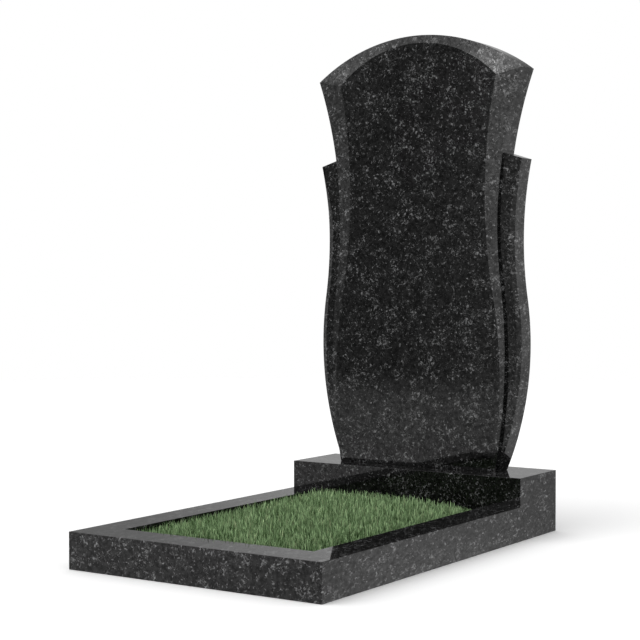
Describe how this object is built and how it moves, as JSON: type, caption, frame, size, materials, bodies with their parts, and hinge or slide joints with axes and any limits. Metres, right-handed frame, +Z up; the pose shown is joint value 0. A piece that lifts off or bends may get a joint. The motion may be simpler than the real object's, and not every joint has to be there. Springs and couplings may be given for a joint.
{
  "type": "headstone",
  "caption": "Polished black granite headstone: waisted, arch-topped stele with bevelled edges and shoulders, on a plinth, with a kerbed bed of turf in front.",
  "frame": {"origin": "on the ground, under the middle of the whole plan of plinth and kerb", "axes": "+Z up, +X to the right of a visitor who faces the stele, -Y towards the visitor"},
  "size_m": [0.65, 1.045, 1.2273],
  "materials": {
    "stele_granite": "polished",
    "plinth_granite": "polished",
    "kerb_granite": "polished",
    "soil": "matte",
    "turf": "matte"
  },
  "bodies": {
    "root": {"stele": "stele_granite", "plinth": "plinth_granite", "kerb_front": "kerb_granite", "kerb_left": "kerb_granite", "kerb_right": "kerb_granite", "soil": "soil", "turf": "turf"}
  },
  "joints": []
}
